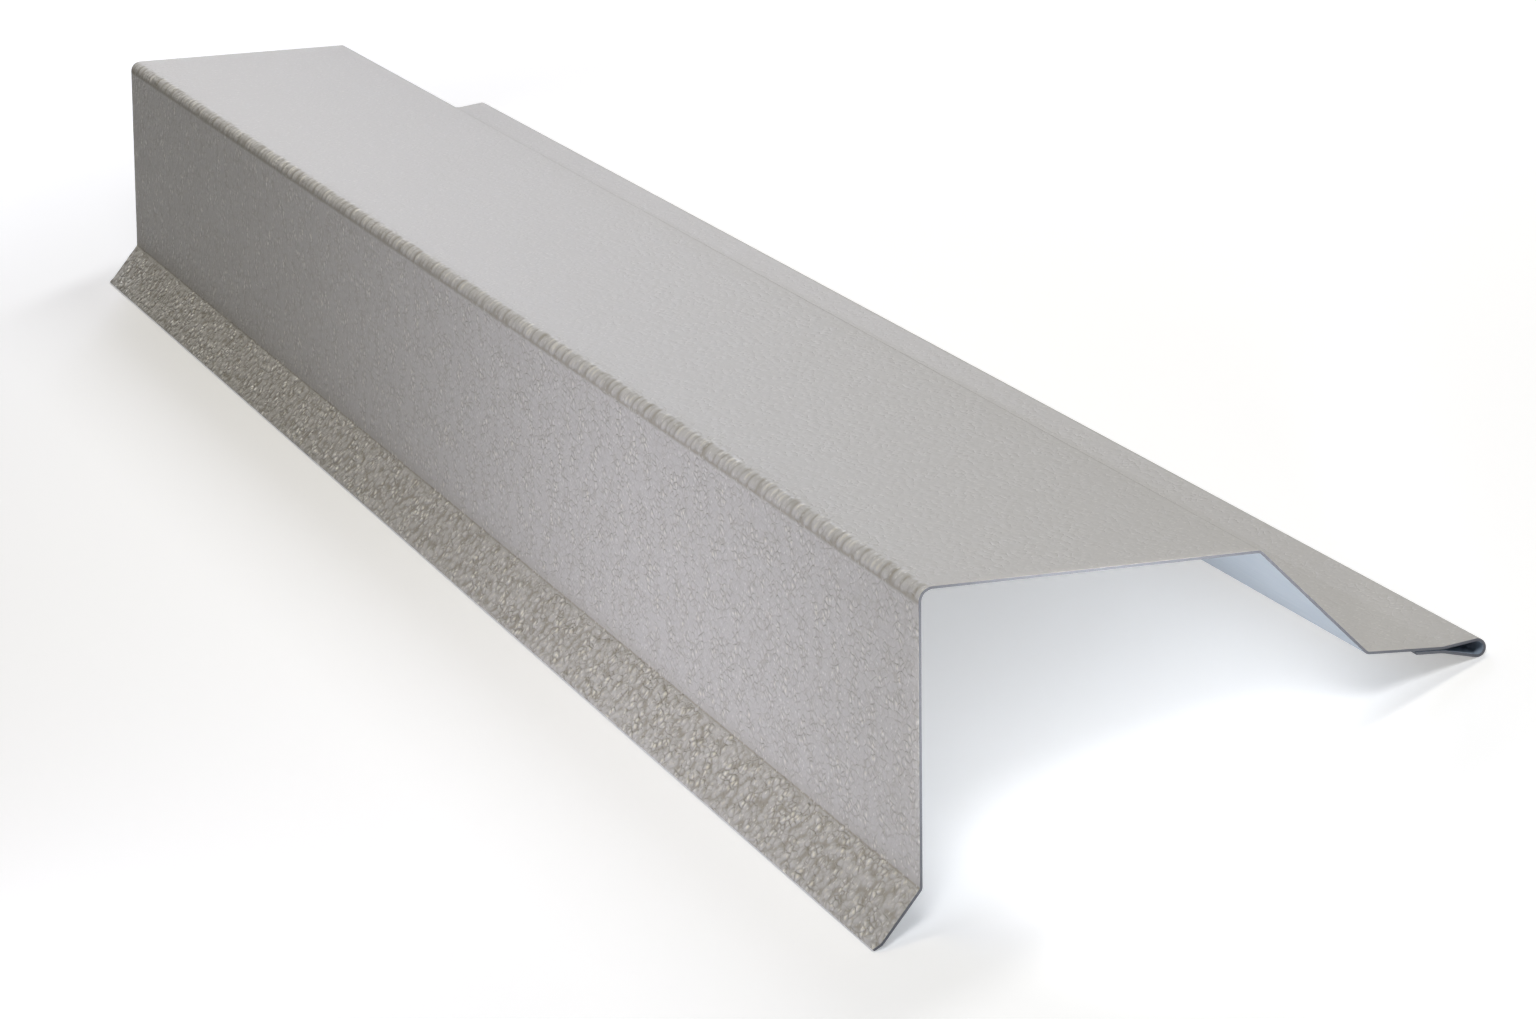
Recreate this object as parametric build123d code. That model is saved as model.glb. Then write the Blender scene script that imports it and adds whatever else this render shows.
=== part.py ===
from build123d import *
import math
import os

# Verge trim for the edge of a pitched roof: one length of coated steel sheet, folded
# along its whole length. Millimetres. The section lies in the XZ plane, and the trim
# runs along Y, with its near end at -Y. Up is +Z.

# Stock
length = 1250.0
sheet_thickness = 0.9

# Width of each flat leg, between the corners that its bends round off
drip_width = 23.2
face_height = 91.5
top_width = 107.3
slope_width = 48.6
flange_width = 24.6

# Angle that each bend turns the sheet through, in degrees
kick_angle = 37.8
top_edge_angle = 88.2
ridge_angle = 46.1
foot_angle = 43.4

# Inside radius of each bend
kick_radius = 1.5
top_edge_radius = 3.8
ridge_radius = 1.5
foot_radius = 1.5

# Open teardrop hem folded under the flange's outer edge
hem_bulb_radius = 2.1
hem_throat_radius = 7.5
hem_taper_angle = 10.0
hem_gap = 0.3
hem_lip = 7.8

# The shear's cut strays at the drip edge: the triangle that it clips off the near corner
# is the point that it leaves on the far corner of the length cut before
stray_width = 3.0
stray_length = 2.6


def middle_radius(inside_radius):
    """Radius of a bend along the middle of the sheet."""
    return inside_radius + sheet_thickness / 2


def setback(turn, inside_radius):
    """Distance from a bend's corner to where its arc starts, along the middle of the sheet."""
    return middle_radius(inside_radius) * math.tan(math.radians(turn) / 2)


def leg_straight(width, *bends):
    """Straight length of a leg of this width, less the setback of each bend at its ends."""
    return width - sum(setback(turn, radius) for turn, radius in bends)


def hem_side():
    """Straight length of each side of the teardrop, between its throat and its bulb."""
    taper = math.radians(hem_taper_angle)
    half_throat = (sheet_thickness + hem_gap) / 2
    bulb_rise = middle_radius(hem_bulb_radius) * math.cos(taper)
    throat_rise = middle_radius(hem_throat_radius) * (1 - math.cos(taper))
    return (bulb_rise - half_throat - throat_rise) / math.sin(taper)


def folds():
    """Straight, turn and inside radius of each fold in order from the drip edge.

    The turn is to the left where it is positive, for someone who walks along the section
    from the drip edge to the hem with the weather side on their left.
    """
    kick = (kick_angle, kick_radius)
    top_edge = (top_edge_angle, top_edge_radius)
    ridge = (ridge_angle, ridge_radius)
    foot = (foot_angle, foot_radius)
    throat = (hem_taper_angle, hem_throat_radius)
    return {
        "kick": (leg_straight(drip_width, kick), kick_angle, kick_radius),
        "top_edge": (leg_straight(face_height, kick, top_edge), -top_edge_angle, top_edge_radius),
        "ridge": (leg_straight(top_width, top_edge, ridge), -ridge_angle, ridge_radius),
        "foot": (leg_straight(slope_width, ridge, foot), foot_angle, foot_radius),
        "throat": (leg_straight(flange_width, foot, throat), hem_taper_angle, hem_throat_radius),
        "bulb": (hem_side(), -(180 + 2 * hem_taper_angle), hem_bulb_radius),
        "lip_bend": (hem_side(), hem_taper_angle, hem_throat_radius),
    }


def side_line(offset):
    """Edges of the sheet's line this far left of its middle, and the arc of each fold by name."""
    heading = Vector(0, 1).rotate(Axis.Z, -kick_angle)
    point = heading.rotate(Axis.Z, 90) * offset
    edges = []
    arcs = {}
    for name, (straight, turn, inside_radius) in folds().items():
        leg = Line(point, point + heading * straight)
        radius = middle_radius(inside_radius) - math.copysign(1, turn) * offset
        arc = JernArc(leg @ 1, heading, radius, turn)
        edges += [leg, arc]
        arcs[name] = arc
        point = arc @ 1
        heading = arc % 1
    edges.append(Line(point, point + heading * hem_lip))
    return edges, arcs


def section():
    """Face of the folded sheet, with the face leg plumb and the drip edge at the origin."""
    weather_side, weather_arcs = side_line(sheet_thickness / 2)
    under_side, _ = side_line(-sheet_thickness / 2)
    drip_edge = Line(weather_side[0] @ 0, under_side[0] @ 0)
    hem_edge = Line(weather_side[-1] @ 1, under_side[-1] @ 1)
    outline = make_face([*weather_side, hem_edge, *under_side, drip_edge])
    return outline, drip_edge @ 1, weather_arcs["bulb"]


def resting_turn(drip_corner, bulb):
    """Turn in degrees that lays the section on its drip edge and on the bulb of its hem."""
    reach = bulb.arc_center - drip_corner
    to_centre = math.degrees(math.atan2(reach.Y, reach.X))
    to_tangent = math.degrees(math.asin(bulb.radius / reach.length))
    return to_tangent - to_centre


def sheared(folded):
    """The folded sheet with a corner off its near end and the same corner left on its far end."""
    near_end = folded.faces().sort_by(Axis.Y)[0]
    drip_corner = near_end.edges().sort_by(Axis.X)[0]
    clipped = chamfer(drip_corner, stray_width, stray_length, reference=near_end)
    return clipped + Pos(0, length, 0) * (folded - clipped)


def trim():
    """The whole trim, resting on the floor, with the middle of its foot print at the origin."""
    outline, drip_corner, bulb = section()
    resting = Rot(0, 0, resting_turn(drip_corner, bulb)) * outline
    folded = extrude(Plane.XZ * resting, length / 2, both=True)
    cut = sheared(folded)
    box = cut.bounding_box()
    return Pos(-box.center().X, -box.center().Y, -box.min.Z) * cut


os.makedirs("parts", exist_ok=True)
export_step(trim(), "parts/verge_trim.step")
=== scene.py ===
import math

import bpy
import numpy as np
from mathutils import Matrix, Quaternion, Vector


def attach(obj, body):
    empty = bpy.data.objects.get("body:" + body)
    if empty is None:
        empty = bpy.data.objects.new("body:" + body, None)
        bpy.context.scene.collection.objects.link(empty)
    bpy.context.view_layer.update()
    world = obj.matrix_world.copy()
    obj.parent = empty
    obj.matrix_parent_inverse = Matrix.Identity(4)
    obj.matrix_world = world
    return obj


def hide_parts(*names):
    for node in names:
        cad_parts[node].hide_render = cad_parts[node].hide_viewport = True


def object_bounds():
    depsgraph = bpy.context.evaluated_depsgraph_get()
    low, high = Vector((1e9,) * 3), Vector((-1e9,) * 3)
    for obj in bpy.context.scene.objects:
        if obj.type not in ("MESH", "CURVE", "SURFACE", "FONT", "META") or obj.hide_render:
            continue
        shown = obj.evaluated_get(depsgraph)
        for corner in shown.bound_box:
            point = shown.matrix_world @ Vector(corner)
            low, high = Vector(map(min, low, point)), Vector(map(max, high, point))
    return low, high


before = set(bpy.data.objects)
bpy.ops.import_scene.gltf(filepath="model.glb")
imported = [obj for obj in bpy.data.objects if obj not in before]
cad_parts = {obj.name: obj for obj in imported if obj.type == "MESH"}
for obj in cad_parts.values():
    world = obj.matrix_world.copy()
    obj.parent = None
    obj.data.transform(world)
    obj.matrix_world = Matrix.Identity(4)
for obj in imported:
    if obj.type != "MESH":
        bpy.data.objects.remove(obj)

# Verge trim of coated steel: its leather-grained weather side, the smooth backing coat on
# its under side and its sheared edges. Metres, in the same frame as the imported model.

CAD_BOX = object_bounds()

# Photograph that the camera matches, in pixels
PHOTO_WIDTH = 1536
PHOTO_FOCAL = 5800
SENSOR_WIDTH = 36.0

MM = 0.001

# Sheet and its folds, as in the part's source
LENGTH = 1250 * MM
THICKNESS = 0.9 * MM
DRIP = 23.2 * MM
FACE = 91.5 * MM
TOP = 107.3 * MM
SLOPE = 48.6 * MM
FLANGE = 24.6 * MM
KICK = (37.8, 1.5 * MM)
TOP_EDGE = (-88.2, 3.8 * MM)
RIDGE = (-46.1, 1.5 * MM)
FOOT = (43.4, 1.5 * MM)
HEM_TAPER = 10.0
HEM_GAP = 0.3 * MM
HEM_LIP = 7.8 * MM
THROAT = (HEM_TAPER, 7.5 * MM)
BULB = (-(180 + 2 * HEM_TAPER), 2.1 * MM)

# Depth of the shader's grain on each leg
DRIP_GRAIN = 1.0
FACE_GRAIN = 0.8
BEND_GRAIN = 0.5
TOP_GRAIN = 0.2
GRAIN_BLEND = 2 * MM

# Pebbles of the leather grain on the drip leg, and the wrinkles that the top edge's bend
# draws them into, both modelled in the mesh
PEBBLE_PITCH = 3.0 * MM
PEBBLE_STRETCH = 1.4
PEBBLE_HEIGHT = 0.45 * MM
PEBBLE_FADE = 1.2 * MM
WRINKLE_PITCH = 4.8 * MM
WRINKLE_RUN = 9 * MM
WRINKLE_SLANT = 0.35
WRINKLE_HEIGHT = 0.36 * MM
WRINKLE_FADE = 1.6 * MM
WRINKLE_SPREAD = 0.75
PEBBLE_SEED = 3
WRINKLE_SEED = 5
CELL_TABLE = (512, 64)
CELL_RIM = 0.8
PLAIN_CROWN = 0.6

# Painted shade, with a matt finish, along the kick and along the face's side of the top edge's bend
CREASE_WIDTH = 1.5 * MM
CREASE_SHADE_SHARE = 1.0

# Where the shear's cut strays at the drip edge
STRAY_WIDTH = 3.0 * MM
STRAY_LENGTH = 2.6 * MM

# Material slots of the mesh
WEATHER, UNDER, SHEARED = range(3)

# Mesh of the sheet: rows across it and columns along it
LEG_STEP = 12 * MM
PEBBLE_STEP = 0.9 * MM
ARC_STEP = 8.0
FINE_MARGIN = 1.5 * WRINKLE_FADE
COARSE_COLUMNS = 200
FINE_PER_COARSE = 6
ROLLOVER = ((0.0, 0.06 * MM), (0.04 * MM, 0.02 * MM), (0.12 * MM, 0.0))
RIM = [distance for distance, _ in ROLLOVER]


def setback(bend):
    """Distance from a bend's corner to where its arc starts, along the middle of the sheet."""
    turn, inside = bend
    return (inside + THICKNESS / 2) * math.tan(math.radians(abs(turn)) / 2)


def arc_length(bend):
    """Length of a bend's arc along the middle of the sheet."""
    turn, inside = bend
    return (inside + THICKNESS / 2) * math.radians(abs(turn))


def hem_side():
    """Straight length of each side of the hem's teardrop."""
    taper = math.radians(HEM_TAPER)
    bulb_rise = (BULB[1] + THICKNESS / 2) * math.cos(taper)
    throat_rise = (THROAT[1] + THICKNESS / 2) * (1 - math.cos(taper))
    return (bulb_rise - (THICKNESS + HEM_GAP) / 2 - throat_rise) / math.sin(taper)


def course():
    """Straight run and bend of each fold, from the drip edge to the lip of the hem."""
    bends = (KICK, TOP_EDGE, RIDGE, FOOT, THROAT)
    before = 0.0
    for width, bend in zip((DRIP, FACE, TOP, SLOPE, FLANGE), bends):
        yield width - before - setback(bend), bend
        before = setback(bend)
    yield hem_side(), BULB
    yield hem_side(), THROAT
    yield HEM_LIP, (0.0, 0.0)


COURSE = list(course())
KICK_START = COURSE[0][0]
BEND_START = KICK_START + arc_length(KICK) + COURSE[1][0]
BEND_END = BEND_START + arc_length(TOP_EDGE)


def steps(length, step):
    """Even places along a run, its end included and its start left out."""
    count = max(1, round(length / step))
    return [length * (k + 1) / count for k in range(count)]


def row_places(leg, run):
    """Places of the mesh's rows along a leg."""
    fade = WRINKLE_FADE
    if leg == 0:
        return [*RIM[1:], *(RIM[-1] + place for place in steps(run - RIM[-1], PEBBLE_STEP))]
    if leg == 1:
        return [*steps(run - 2 * fade, LEG_STEP), run - fade, run - fade / 2, run]
    if leg == 2:
        plain = (0.0, *steps(run - 2 * fade, LEG_STEP))
        return [fade / 2, fade, *(2 * fade + place for place in plain)]
    if leg == len(COURSE) - 1:
        return [*steps(run / 2, LEG_STEP), *(run - place for place in reversed(RIM))]
    return steps(run, LEG_STEP)


def middle_line():
    """Place, heading in radians and developed distance of each row along the sheet's middle."""
    heading = math.radians(90 - KICK[0])
    place = np.zeros(2)
    along = 0.0
    rows = [(place, heading, along)]
    for leg, (run, (turn, inside)) in enumerate(COURSE):
        ahead = np.array([math.cos(heading), math.sin(heading)])
        for distance in row_places(leg, run):
            rows.append((place + distance * ahead, heading, along + distance))
        if not turn:
            return rows
        place, along = place + run * ahead, along + run
        radius = math.copysign(inside + THICKNESS / 2, turn)
        centre = place + radius * np.array([-ahead[1], ahead[0]])
        start = heading
        for angle in steps(abs(turn), ARC_STEP):
            heading = start + math.radians(math.copysign(angle, turn))
            place = centre + radius * np.array([math.sin(heading), -math.cos(heading)])
            rows.append((place, heading, along + abs(radius) * math.radians(angle)))
        along += abs(radius) * math.radians(abs(turn))


def bulb_centre(rows):
    """Middle of the hem's bulb."""
    place, heading, _ = min(rows, key=lambda row: row[1])
    return place - (BULB[1] + THICKNESS / 2) * np.array([-math.sin(heading), math.cos(heading)])


def resting(corner, bulb):
    """The turn, as a 2 by 2 matrix, that lays the section on its drip corner and its bulb."""
    reach = bulb - corner
    lift = math.asin((BULB[1] + THICKNESS) / np.linalg.norm(reach))
    angle = lift - math.atan2(reach[1], reach[0])
    return np.array([[math.cos(angle), -math.sin(angle)], [math.sin(angle), math.cos(angle)]])


def section_rows():
    """Place, normal and developed distance of each row, with the section laid on the floor."""
    rows = middle_line()
    places = np.array([place for place, _, _ in rows])
    headings = np.array([heading for _, heading, _ in rows])
    along = np.array([distance for _, _, distance in rows])
    normals = np.stack([-np.sin(headings), np.cos(headings)], 1)
    turn = resting(places[0] - normals[0] * THICKNESS / 2, bulb_centre(rows))
    places, normals = places @ turn.T, normals @ turn.T
    skin = np.concatenate([places + normals * THICKNESS / 2, places - normals * THICKNESS / 2])
    shift = [CAD_BOX[0][0] - skin[:, 0].min(), CAD_BOX[0][2] - skin[:, 1].min()]
    return places + shift, normals, along


def smooth(value, low, high):
    """Zero below the low value, one above the high one, and a soft step between them."""
    share = np.clip((value - low) / (high - low), 0, 1)
    return share * share * (3 - 2 * share)


def pebbles(across, down, spread, seed):
    """Height from zero to one of rounded pebbles, each strayed in its unit cell, at each point."""
    table = np.random.default_rng(seed).random((*CELL_TABLE, 3))
    row, column = np.floor(down).astype(int), np.floor(across).astype(int)
    nearest = np.full(across.shape, np.inf)
    height = np.zeros(across.shape)
    for r in (-1, 0, 1):
        for c in (-1, 0, 1):
            stray = table[(row + r) % CELL_TABLE[0], (column + c) % CELL_TABLE[1]]
            ahead = row + r + 0.5 + spread * (stray[..., 0] - 0.5) - down
            aside = column + c + 0.5 + spread * (stray[..., 1] - 0.5) - across
            distance = np.hypot(ahead, aside)
            closer = distance < nearest
            nearest = np.where(closer, distance, nearest)
            height = np.where(closer, stray[..., 2], height)
    return (1 - smooth(nearest, 0, CELL_RIM)) * (0.5 + 0.5 * height)


def relief(along, down):
    """Rise of the weather side over the flat sheet at each point, and how near it is to a crown, lowered
    along the creases for their painted shade.
    """
    ends = smooth(np.minimum(down, LENGTH - down), RIM[-1], PEBBLE_FADE)
    drip = ends * smooth(along, RIM[-1], PEBBLE_FADE)
    drip = drip * (1 - smooth(along, KICK_START - PEBBLE_FADE, KICK_START))
    bend = ends * smooth(along, BEND_START - WRINKLE_FADE, BEND_START)
    bend = bend * (1 - smooth(along, BEND_END - WRINKLE_FADE, BEND_END))
    stretched = down / (PEBBLE_PITCH * PEBBLE_STRETCH)
    grain = pebbles(along / PEBBLE_PITCH, stretched, 1.0, PEBBLE_SEED)
    around = (along - (BEND_START + BEND_END) / 2) / WRINKLE_RUN + 0.5
    slanted = (down + WRINKLE_SLANT * along) / WRINKLE_PITCH
    folds = pebbles(around, slanted, WRINKLE_SPREAD, WRINKLE_SEED)
    rise = drip * grain * PEBBLE_HEIGHT + bend * folds * WRINKLE_HEIGHT
    crown = PLAIN_CROWN + drip * (grain - PLAIN_CROWN) + bend * (folds - PLAIN_CROWN)
    kick = np.abs(along - KICK_START - arc_length(KICK) / 2)
    # A line of painted shade along the kick and the face's side of the bend, made by lowering the crown
    crease_shade = 1 - smooth(np.minimum(kick, np.abs(along - BEND_START)), 0, CREASE_WIDTH)
    return rise, crown * (1 - CREASE_SHADE_SHARE * crease_shade)


def grain_depth(along):
    """Depth of the shader's grain at each row."""
    kick = KICK_START + arc_length(KICK)
    places = (KICK_START, kick, BEND_START - GRAIN_BLEND, BEND_START, BEND_END, BEND_END + GRAIN_BLEND)
    depths = (DRIP_GRAIN, FACE_GRAIN, FACE_GRAIN, BEND_GRAIN, BEND_GRAIN, TOP_GRAIN)
    return np.interp(along, places, depths)


def column_sets():
    """Distance of every column from the near end, and which of them the plain rows have."""
    count = COARSE_COLUMNS * FINE_PER_COARSE
    inner = np.arange(1, count)
    rim = len(RIM)
    places = np.array([*RIM, *(LENGTH * inner / count), *(LENGTH - np.array(RIM[::-1]))])
    everywhere = np.arange(len(places))
    coarse = rim + inner[inner % FINE_PER_COARSE == 0] - 1
    plain = np.concatenate([everywhere[:rim], coarse, everywhere[-rim:]])
    return places, everywhere, plain


def strip(first, second, shared):
    """Faces between two rows, each a map from column to vertex, cornered at shared columns."""
    for left, right in zip(shared[:-1], shared[1:]):
        ahead = [first[k] for k in range(left, right + 1) if k in first]
        back = [second[k] for k in range(right, left - 1, -1) if k in second]
        yield ahead + back


class Sheet:
    """The folded sheet, gathered row by row and face by face."""

    def __init__(self):
        self.places, self.normals, self.along = section_rows()
        self.columns, self.everywhere, self.plain = column_sets()
        self.grain = grain_depth(self.along)
        self.points, self.flat, self.crowns, self.grains = [], [], [], []
        self.faces, self.slots = [], []
        self.count = 0

    def fine_rows(self):
        """Rows that carry modelled grain, and so have every column."""
        along = self.along
        drip = (along > RIM[-1]) & (along < KICK_START)
        bend = (along > BEND_START - FINE_MARGIN) & (along < BEND_END + FINE_MARGIN)
        return drip | bend

    def add_row(self, row, side, picked):
        """Vertices of a row on the weather side (1) or the under side (-1), by their column."""
        down = self.columns[picked]
        across = np.full_like(down, self.along[row])
        width = self.along[-1]
        rise, crown = relief(across, down)
        edge = np.minimum(np.minimum(across, width - across), np.minimum(down, LENGTH - down))
        height = THICKNESS / 2 + rise - np.interp(edge, RIM, [drop for _, drop in ROLLOVER])
        if side < 0:
            height = np.full_like(down, -THICKNESS / 2)
        point = self.places[row] + self.normals[row] * height[:, None]
        y = CAD_BOX[0][1] + down + STRAY_LENGTH * max(0.0, 1 - self.along[row] / STRAY_WIDTH)
        self.points.append(np.stack([point[:, 0], y, point[:, 1]], 1))
        self.flat.append(np.stack([across + (1 - side) * width, y], 1))
        self.crowns.append(crown)
        self.grains.append(np.full_like(down, self.grain[row]))
        first = self.count
        self.count += len(down)
        return {int(k): first + number for number, k in enumerate(picked)}

    def add_faces(self, made, slot):
        """Faces with the material of one slot."""
        before = len(self.faces)
        self.faces.extend(made)
        self.slots.extend([slot] * (len(self.faces) - before))

    def close(self, weather, under):
        """Cut faces along both ends and both long edges of the sheet."""
        pairs = list(zip(weather[:-1], weather[1:], under[:-1], under[1:]))
        near, far = int(self.everywhere[0]), int(self.everywhere[-1])
        self.add_faces([[b[near], a[near], c[near], d[near]] for a, b, c, d in pairs], SHEARED)
        self.add_faces([[a[far], b[far], d[far], c[far]] for a, b, c, d in pairs], SHEARED)
        shared = [int(k) for k in self.plain]
        self.add_faces(strip(weather[0], under[0], shared), SHEARED)
        self.add_faces(strip(under[-1], weather[-1], shared), SHEARED)

    def build(self):
        """Both sides of the sheet and its cut faces."""
        fine = self.fine_rows()
        rows = range(len(self.along))
        weather = [self.add_row(row, 1, self.everywhere if fine[row] else self.plain) for row in rows]
        under = [self.add_row(row, -1, self.plain) for row in rows]
        shared = [int(k) for k in self.plain]
        every = [int(k) for k in self.everywhere]
        for row in rows[:-1]:
            corners = every if fine[row] and fine[row + 1] else shared
            self.add_faces(strip(weather[row + 1], weather[row], corners), WEATHER)
            self.add_faces(strip(under[row], under[row + 1], shared), UNDER)
        self.close(weather, under)

    def as_mesh(self, name):
        """A mesh that keeps the developed place of every corner and the grain of every point."""
        mesh = bpy.data.meshes.new(name)
        mesh.from_pydata(np.concatenate(self.points).tolist(), [], self.faces)
        slots = np.array(self.slots)
        mesh.polygons.foreach_set("material_index", slots)
        mesh.polygons.foreach_set("use_smooth", slots != SHEARED)
        corners = np.empty(len(mesh.loops), dtype=np.int32)
        mesh.loops.foreach_get("vertex_index", corners)
        flat = np.concatenate(self.flat)[corners]
        mesh.uv_layers.new(name="developed").data.foreach_set("uv", flat.ravel())
        for kind, values in (("grain", self.grains), ("crown", self.crowns)):
            layer = mesh.attributes.new(kind, "FLOAT", "POINT")
            layer.data.foreach_set("value", np.concatenate(values))
        mesh.validate()
        mesh.update()
        return mesh


def node(tree, kind, values=None, links=None, **settings):
    """A shader node with its settings, its input values and its links."""
    made = tree.nodes.new(kind)
    for name, value in settings.items():
        setattr(made, name, value)
    for name, value in (values or {}).items():
        made.inputs[name].default_value = value
    for name, source in (links or {}).items():
        tree.links.new(source, made.inputs[name])
    return made


def new_material(name):
    """A material, its node tree and its shader."""
    material = bpy.data.materials.new(name)
    material.use_nodes = True
    tree = material.node_tree
    shader = next(n for n in tree.nodes if n.type == "BSDF_PRINCIPLED")
    return material, tree, shader


def map_range(tree, source, span, low, high):
    """A value taken from a span to what stands at its two ends."""
    values = {"From Min": span[0], "From Max": span[1], "To Min": low, "To Max": high}
    return node(tree, "ShaderNodeMapRange", values, {"Value": source}).outputs["Result"]


def maths(tree, operation, *parts):
    """Two or more values or sockets put together, from left to right."""
    result, *rest = parts
    for part in rest:
        made = node(tree, "ShaderNodeMath", operation=operation)
        for socket, value in zip(made.inputs, (result, part)):
            if isinstance(value, (int, float)):
                socket.default_value = value
            else:
                tree.links.new(value, socket)
        result = made.outputs["Value"]
    return result


def mixed(tree, share, first, second):
    """Two colours, given as values or as sockets, mixed by a share of the second."""
    made = node(tree, "ShaderNodeMix", links={"Factor": share}, data_type="RGBA")
    for socket, colour in ((made.inputs["A"], first), (made.inputs["B"], second)):
        if isinstance(colour, tuple):
            socket.default_value = (*colour, 1)
        else:
            tree.links.new(colour, socket)
    return made.outputs["Result"]


def shaded(colour, share):
    """A colour made darker or lighter."""
    return tuple(share * c for c in colour)


def scaled_place(tree, place, scale):
    """A place stretched or squeezed along its axes."""
    made = node(tree, "ShaderNodeMapping", {"Scale": scale}, {"Vector": place})
    return made.outputs["Vector"]


def noise(tree, place, pitch, detail):
    """Soft noise of one pitch."""
    values = {"Scale": 1 / pitch, "Detail": detail}
    return node(tree, "ShaderNodeTexNoise", values, {"Vector": place}).outputs


def cells(tree, place, pitch, **settings):
    """Strayed cells of one pitch."""
    return node(tree, "ShaderNodeTexVoronoi", {"Scale": 1 / pitch}, {"Vector": place}, **settings).outputs


def developed(tree):
    """Place on the unfolded sheet, in metres."""
    return node(tree, "ShaderNodeUVMap", uv_map="developed").outputs["UV"]


def kept_value(tree, name):
    """A value that the mesh keeps at its points."""
    return node(tree, "ShaderNodeAttribute", attribute_name=name).outputs["Fac"]


def set_relief(tree, shader, height, depth):
    """A height given to the shader as fine relief of a real depth."""
    bump = node(tree, "ShaderNodeBump", {"Strength": 1.0, "Distance": depth}, {"Height": height})
    tree.links.new(bump.outputs["Normal"], shader.inputs["Normal"])


# Weather coat: its colours, among them a painted shade for its hollows and a painted highlight for its
# crowns, and its shine
COAT_COLOUR = (0.49, 0.475, 0.447)
# Colour of the painted shade in the valleys
COAT_VALLEY_SHADE = (0.24, 0.21, 0.145)
COAT_METALLIC = 0.06
COAT_SPECULAR = 0.06
# Colour of the painted highlight on the crowns, and its shares
CROWN_HIGHLIGHT_COLOUR = (0.79, 0.74, 0.59)
CROWN_HIGHLIGHT_SHARE = 0.7
RAISED_HIGHLIGHT_SHARE = 0.7
CROWN_SPECULAR = 0.6
VALLEY_SHADE_SHARE = 0.6
HOLLOW = 0.4
MATT_VALLEY = 0.56
SATIN_CROWN = 0.26

# Its embossed grain: cells with rounded domes and narrow crevices, deeper in some patches
GRAIN_PITCH = 2.6 * MM
GRAIN_STRETCH = 1.4
GRAIN_RELIEF = 0.6 * MM
DOME_SPAN = (0.05, 0.75)
CREVICE_WIDTH = 0.14
CREVICE_SHARE = 0.45
PATCH_PITCH = 9 * MM
PATCH_SPAN = (0.38, 0.6)
PATCH_LEAST = 0.25
FINE_PITCH = 0.9 * MM
FINE_SHARE = 0.3
WARP = 0.8 * MM
WARP_PITCH = 3 * GRAIN_PITCH

# Height of a dome at which its top takes a painted highlight, shines, and turns from matt to satin
HIGHLIGHT_SPAN = (0.45, 0.95)
SHINE_SPAN = (0.4, 0.9)
SATIN_SPAN = (0.3, 1.6)

# Its metallic flakes, painted lighter as glints: the share of cells that hold one, and how each fades at
# its rim
FLAKE_GLINT_COLOUR = (0.82, 0.80, 0.74)
FLAKE_PITCH = 1.3 * MM
FLAKE_SHARE = 0.5
FLAKE_CHOICE = (0.82, 0.88)
FLAKE_SPAN = (0.2, 0.5)
FLAKE_LEAST = 0.4


def warped(tree, place):
    """A place shifted a little by noise, so that no cell is regular, and drawn out."""
    shift = node(tree, "ShaderNodeVectorMath", links={0: noise(tree, place, WARP_PITCH, 1.0)["Color"]},
                 operation="SUBTRACT")
    shift.inputs[1].default_value = (0.5, 0.5, 0.5)
    scaled = node(tree, "ShaderNodeVectorMath", {"Scale": 2 * WARP}, {0: shift.outputs["Vector"]},
                  operation="SCALE")
    moved = node(tree, "ShaderNodeVectorMath", links={0: place, 1: scaled.outputs["Vector"]},
                 operation="ADD")
    return scaled_place(tree, moved.outputs["Vector"], (1.0, 1 / GRAIN_STRETCH, 1.0))


def flake_glint_share(tree, place, depth):
    """How much of the coat's colour is a metallic flake's painted glint."""
    flakes = cells(tree, place, FLAKE_PITCH)
    draw = node(tree, "ShaderNodeSeparateColor", links={"Color": flakes["Color"]}).outputs["Red"]
    chosen = map_range(tree, draw, FLAKE_CHOICE, 0.0, 1.0)
    spot = map_range(tree, flakes["Distance"], FLAKE_SPAN, 1.0, 0.0)
    strength = map_range(tree, depth, (0.0, DRIP_GRAIN), FLAKE_LEAST, 1.0)
    return maths(tree, "MULTIPLY", chosen, spot, strength, FLAKE_SHARE)


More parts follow.
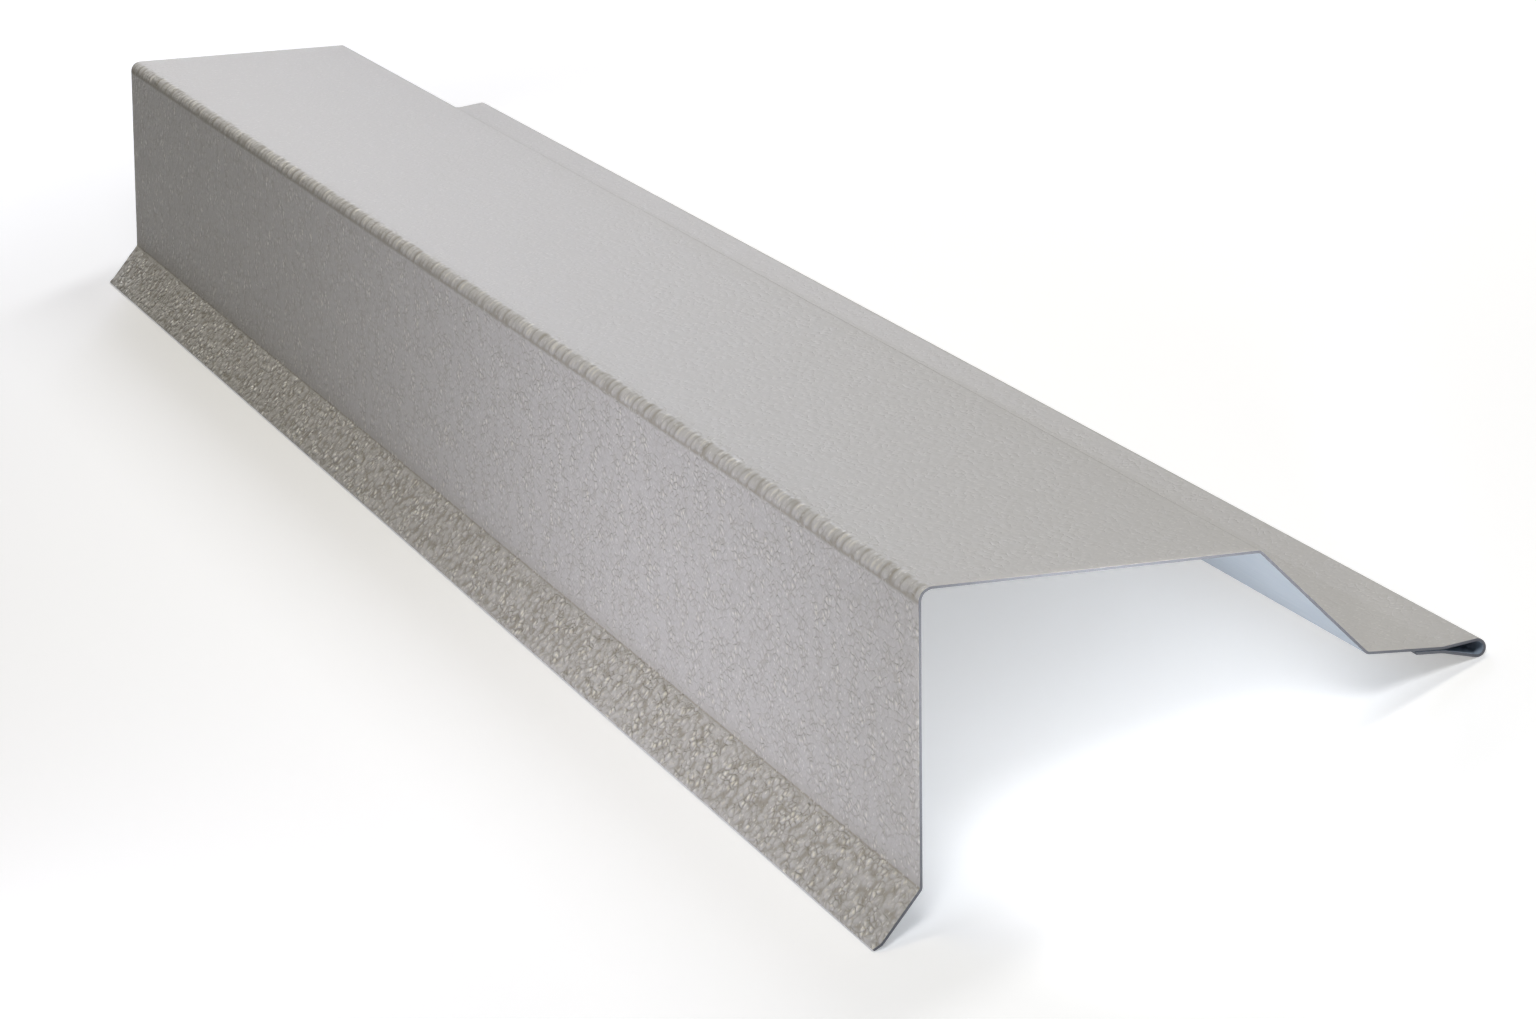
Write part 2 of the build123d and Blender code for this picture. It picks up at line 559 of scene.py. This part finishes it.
def weather_coat():
    """Light grey metallic coat with an embossed leather grain, painted shade in its hollows and creases,
    and painted highlights on its crowns and flakes.
    """
    material, tree, shader = new_material("weather_coat")
    place, depth, crown = developed(tree), kept_value(tree, "grain"), kept_value(tree, "crown")
    cell_place = warped(tree, place)
    domes = map_range(tree, cells(tree, cell_place, GRAIN_PITCH)["Distance"], DOME_SPAN, 1.0, 0.0)
    rims = cells(tree, cell_place, GRAIN_PITCH, feature="DISTANCE_TO_EDGE")["Distance"]
    crevices = map_range(tree, rims, (0.0, CREVICE_WIDTH), 1.0, 0.0)
    patch = map_range(tree, noise(tree, place, PATCH_PITCH, 1.0)["Fac"], PATCH_SPAN, PATCH_LEAST, 1.0)
    fine = noise(tree, place, FINE_PITCH, 1.0)["Fac"]

    cut = maths(tree, "MULTIPLY", crevices, patch, depth)
    pebble = maths(tree, "MULTIPLY", domes, patch, depth)
    speckle = maths(tree, "MULTIPLY", fine, FINE_SHARE, depth)
    raised = maths(tree, "ADD", pebble, speckle)
    height = maths(tree, "SUBTRACT", raised, maths(tree, "MULTIPLY", cut, CREVICE_SHARE))
    set_relief(tree, shader, height, GRAIN_RELIEF)

    # Painted shade: hollows between the modelled pebbles and wrinkles, the creases and the crevices
    # darken the coat
    hollow_shade = map_range(tree, crown, (0.0, HOLLOW), 1.0, 0.0)
    low = maths(tree, "MAXIMUM", hollow_shade, maths(tree, "MULTIPLY", cut, depth, depth))
    valley_shade = maths(tree, "MULTIPLY", low, VALLEY_SHADE_SHARE)
    # Painted highlight: the crowns of the pebbles and wrinkles lighten the coat
    modelled = map_range(tree, crown, (PLAIN_CROWN, 1.0), 0.0, RAISED_HIGHLIGHT_SHARE)
    top = maths(tree, "MAXIMUM", map_range(tree, pebble, HIGHLIGHT_SPAN, 0.0, 1.0), modelled)
    body = mixed(tree, valley_shade, COAT_COLOUR, COAT_VALLEY_SHADE)
    body = mixed(tree, maths(tree, "MULTIPLY", top, CROWN_HIGHLIGHT_SHARE), body, CROWN_HIGHLIGHT_COLOUR)
    # Metallic flakes, painted lighter as glints
    coat = mixed(tree, flake_glint_share(tree, place, depth), body, FLAKE_GLINT_COLOUR)
    tree.links.new(coat, shader.inputs["Base Color"])

    rough = map_range(tree, maths(tree, "ADD", crown, pebble), SATIN_SPAN, MATT_VALLEY, SATIN_CROWN)
    tree.links.new(rough, shader.inputs["Roughness"])
    shine = map_range(tree, pebble, SHINE_SPAN, COAT_SPECULAR, CROWN_SPECULAR)
    tree.links.new(shine, shader.inputs["Specular IOR Level"])
    shader.inputs["Metallic"].default_value = COAT_METALLIC
    return material


# Backing coat, with faint streaks along the sheet from its roller
BACKING_COLOUR = (0.43, 0.50, 0.585)
BACKING_STREAK = 0.93
BACKING_ROUGH = (0.38, 0.5)
STREAK_PITCH = 1.2 * MM
STREAK_DRAW = 0.04
STREAK_RELIEF = 0.01 * MM

# Sheared edges
EDGE_COLOUR = (0.14, 0.148, 0.17)
EDGE_SHADES = (0.8, 1.2)
EDGE_ROUGH = (0.35, 0.55)
EDGE_METALLIC = 0.3
SHEAR_PITCH = 0.4 * MM
SHEAR_RELIEF = 0.03 * MM

# Middle of a noise, in which it does most of its varying
NOISE_SPAN = (0.3, 0.7)


def backing_coat():
    """Thin pale blue-grey coat of the under side, rolled on smooth."""
    material, tree, shader = new_material("backing_coat")
    drawn = scaled_place(tree, developed(tree), (1.0, STREAK_DRAW, 1.0))
    streaks = noise(tree, drawn, STREAK_PITCH, 3.0)["Fac"]
    colour = mixed(tree, streaks, shaded(BACKING_COLOUR, BACKING_STREAK), BACKING_COLOUR)
    tree.links.new(colour, shader.inputs["Base Color"])
    tree.links.new(map_range(tree, streaks, NOISE_SPAN, *BACKING_ROUGH), shader.inputs["Roughness"])
    set_relief(tree, shader, streaks, STREAK_RELIEF)
    return material


def sheared_edge():
    """Steel and its coats where the sheet was cut, with the fine lines of the shear."""
    material, tree, shader = new_material("sheared_edge")
    place = node(tree, "ShaderNodeTexCoord").outputs["Object"]
    lines = noise(tree, place, SHEAR_PITCH, 2.0)["Fac"]
    dark, light = (shaded(EDGE_COLOUR, share) for share in EDGE_SHADES)
    tree.links.new(mixed(tree, lines, dark, light), shader.inputs["Base Color"])
    tree.links.new(map_range(tree, lines, NOISE_SPAN, *EDGE_ROUGH), shader.inputs["Roughness"])
    shader.inputs["Metallic"].default_value = EDGE_METALLIC
    set_relief(tree, shader, lines, SHEAR_RELIEF)
    return material


def add_trim():
    """The dressed sheet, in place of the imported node."""
    sheet = Sheet()
    sheet.build()
    mesh = sheet.as_mesh("verge_trim_sheet")
    for material in (weather_coat(), backing_coat(), sheared_edge()):
        mesh.materials.append(material)
    piece = bpy.data.objects.new("verge_trim_sheet", mesh)
    bpy.context.scene.collection.objects.link(piece)
    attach(piece, "root")
    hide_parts("verge_trim")


# Floor and world. The floor's own light is seen and reflected but lights nothing, and it
# rises away from the trim, where the lamps no longer reach
FLOOR_HALF = 8.0
FLOOR_COLOUR = 0.85
FLOOR_ROUGH = 0.9
FLOOR_LIFT = 0.36
FAR_LIFT = 0.6
FAR_SPAN = (0.35, 1.1)
FAR_SCALE = (1.0, 0.5, 1.0)
WORLD_LIGHT = 0.03
WORLD_WHITE = 1.0
WORLD_REFLECTED = 0.5


def seen_and_reflected(tree):
    """One for rays from the camera, and one for those that metal reflects or glass lets through."""
    path = node(tree, "ShaderNodeLightPath").outputs
    reflected = maths(tree, "MAXIMUM", path["Is Glossy Ray"], path["Is Transmission Ray"])
    return path["Is Camera Ray"], reflected


def floor_white():
    """White floor, which keeps the trim's shadow."""
    material, tree, shader = new_material("floor_white")
    shader.inputs["Base Color"].default_value = (FLOOR_COLOUR,) * 3 + (1,)
    shader.inputs["Roughness"].default_value = FLOOR_ROUGH
    shader.inputs["Specular IOR Level"].default_value = 0.0
    shader.inputs["Emission Color"].default_value = (1, 1, 1, 1)
    seen, reflected = seen_and_reflected(tree)
    place = scaled_place(tree, node(tree, "ShaderNodeTexCoord").outputs["Object"], FAR_SCALE)
    distance = node(tree, "ShaderNodeVectorMath", links={0: place}, operation="LENGTH").outputs["Value"]
    far = maths(tree, "MULTIPLY", seen, map_range(tree, distance, FAR_SPAN, 0.0, FAR_LIFT))
    lift = maths(tree, "MULTIPLY", maths(tree, "MAXIMUM", seen, reflected), FLOOR_LIFT)
    tree.links.new(maths(tree, "ADD", lift, far), shader.inputs["Emission Strength"])
    return material


def add_floor():
    """Plain level floor under the trim."""
    mesh = bpy.data.meshes.new("floor")
    corners = [(x * FLOOR_HALF, y * FLOOR_HALF, 0) for x, y in ((-1, -1), (1, -1), (1, 1), (-1, 1))]
    mesh.from_pydata(corners, [], [(0, 1, 2, 3)])
    mesh.materials.append(floor_white())
    floor = bpy.data.objects.new("floor", mesh)
    bpy.context.scene.collection.objects.link(floor)


def add_world():
    """White where it is seen, paler in reflections, and a faint even light elsewhere."""
    world = bpy.data.worlds.new("studio")
    bpy.context.scene.world = world
    world.use_nodes = True
    tree = world.node_tree
    back = next(n for n in tree.nodes if n.type == "BACKGROUND")
    back.inputs["Color"].default_value = (1, 1, 1, 1)
    seen, reflected = seen_and_reflected(tree)
    white = maths(tree, "MULTIPLY", seen, WORLD_WHITE)
    mirrored = maths(tree, "MULTIPLY", reflected, WORLD_REFLECTED)
    tree.links.new(maths(tree, "MAXIMUM", white, mirrored, WORLD_LIGHT), back.inputs["Strength"])


SPOT_BLEND = 1.0


def add_lamp(name, place, aim, size, power, colour, cone=None):
    """A soft lamp at a place, turned to its aim: a square, or a spot with a cone in degrees."""
    light = bpy.data.lights.new(name, "SPOT" if cone else "AREA")
    if cone:
        light.spot_size = math.radians(cone)
        light.spot_blend = SPOT_BLEND
        light.shadow_soft_size = size / 2
    else:
        light.shape = "SQUARE"
        light.size = size
    light.energy = power
    light.color = colour
    lamp = bpy.data.objects.new(name, light)
    bpy.context.scene.collection.objects.link(lamp)
    lamp.location = place
    lamp.rotation_mode = "QUATERNION"
    lamp.rotation_quaternion = (Vector(aim) - Vector(place)).to_track_quat("-Z", "Y")


# Name, place, aim, size in metres, power in watts and colour of each lamp, and a spot's cone
LAMPS = (
    ("over", (0.25, 0.3, 1.5), (0.0, 0.0, 0.05), 0.45, 4.3, (1.0, 0.88, 0.60)),
    ("side", (1.0, 0.2, 1.2), (0.0, 0.0, 0.05), 0.45, 7.8, (0.95, 0.97, 1.0)),
    ("rear", (0.7, 1.9, 1.0), (0.0, 0.1, 0.05), 0.6, 14.0, (0.76, 0.80, 1.0)),
    ("rear_low", (0.0, 3.0, 0.8), (0.0, 0.1, 0.05), 1.4, 13.0, (1.0, 0.98, 0.94)),
    ("left", (-0.6, -0.38, 0.035), (0.0, -0.3, 0.05), 0.06, 2.3, (0.86, 0.86, 1.0)),
    ("near", (0.0, -1.4, 1.1), (0.1, -0.85, 0.0), 0.5, 8.6, (0.97, 0.98, 1.0)),
    ("opening", (-0.06, -0.90, 0.085), (0.03, -0.45, 0.0), 0.06, 11.0, (1.0, 0.98, 0.96), 34.0),
)

CAMERA_PLACE = Vector((-0.39618, -2.20664, 0.63748))
CAMERA_AIM = Vector((0.0, -0.1953, 0.0038))
CAMERA_ROLL = -22.084


def add_camera():
    """The photograph's camera."""
    data = bpy.data.cameras.new("camera")
    data.sensor_width = SENSOR_WIDTH
    data.lens = PHOTO_FOCAL / PHOTO_WIDTH * SENSOR_WIDTH
    camera = bpy.data.objects.new("camera", data)
    bpy.context.scene.collection.objects.link(camera)
    camera.location = CAMERA_PLACE
    camera.rotation_mode = "QUATERNION"
    looking = (CAMERA_AIM - CAMERA_PLACE).to_track_quat("-Z", "Y")
    camera.rotation_quaternion = looking @ Quaternion((0, 0, 1), math.radians(CAMERA_ROLL))
    bpy.context.scene.camera = camera


add_camera()
add_trim()
add_floor()
add_world()
for lamp in LAMPS:
    add_lamp(*lamp)
bpy.context.scene.view_settings.view_transform = "Standard"
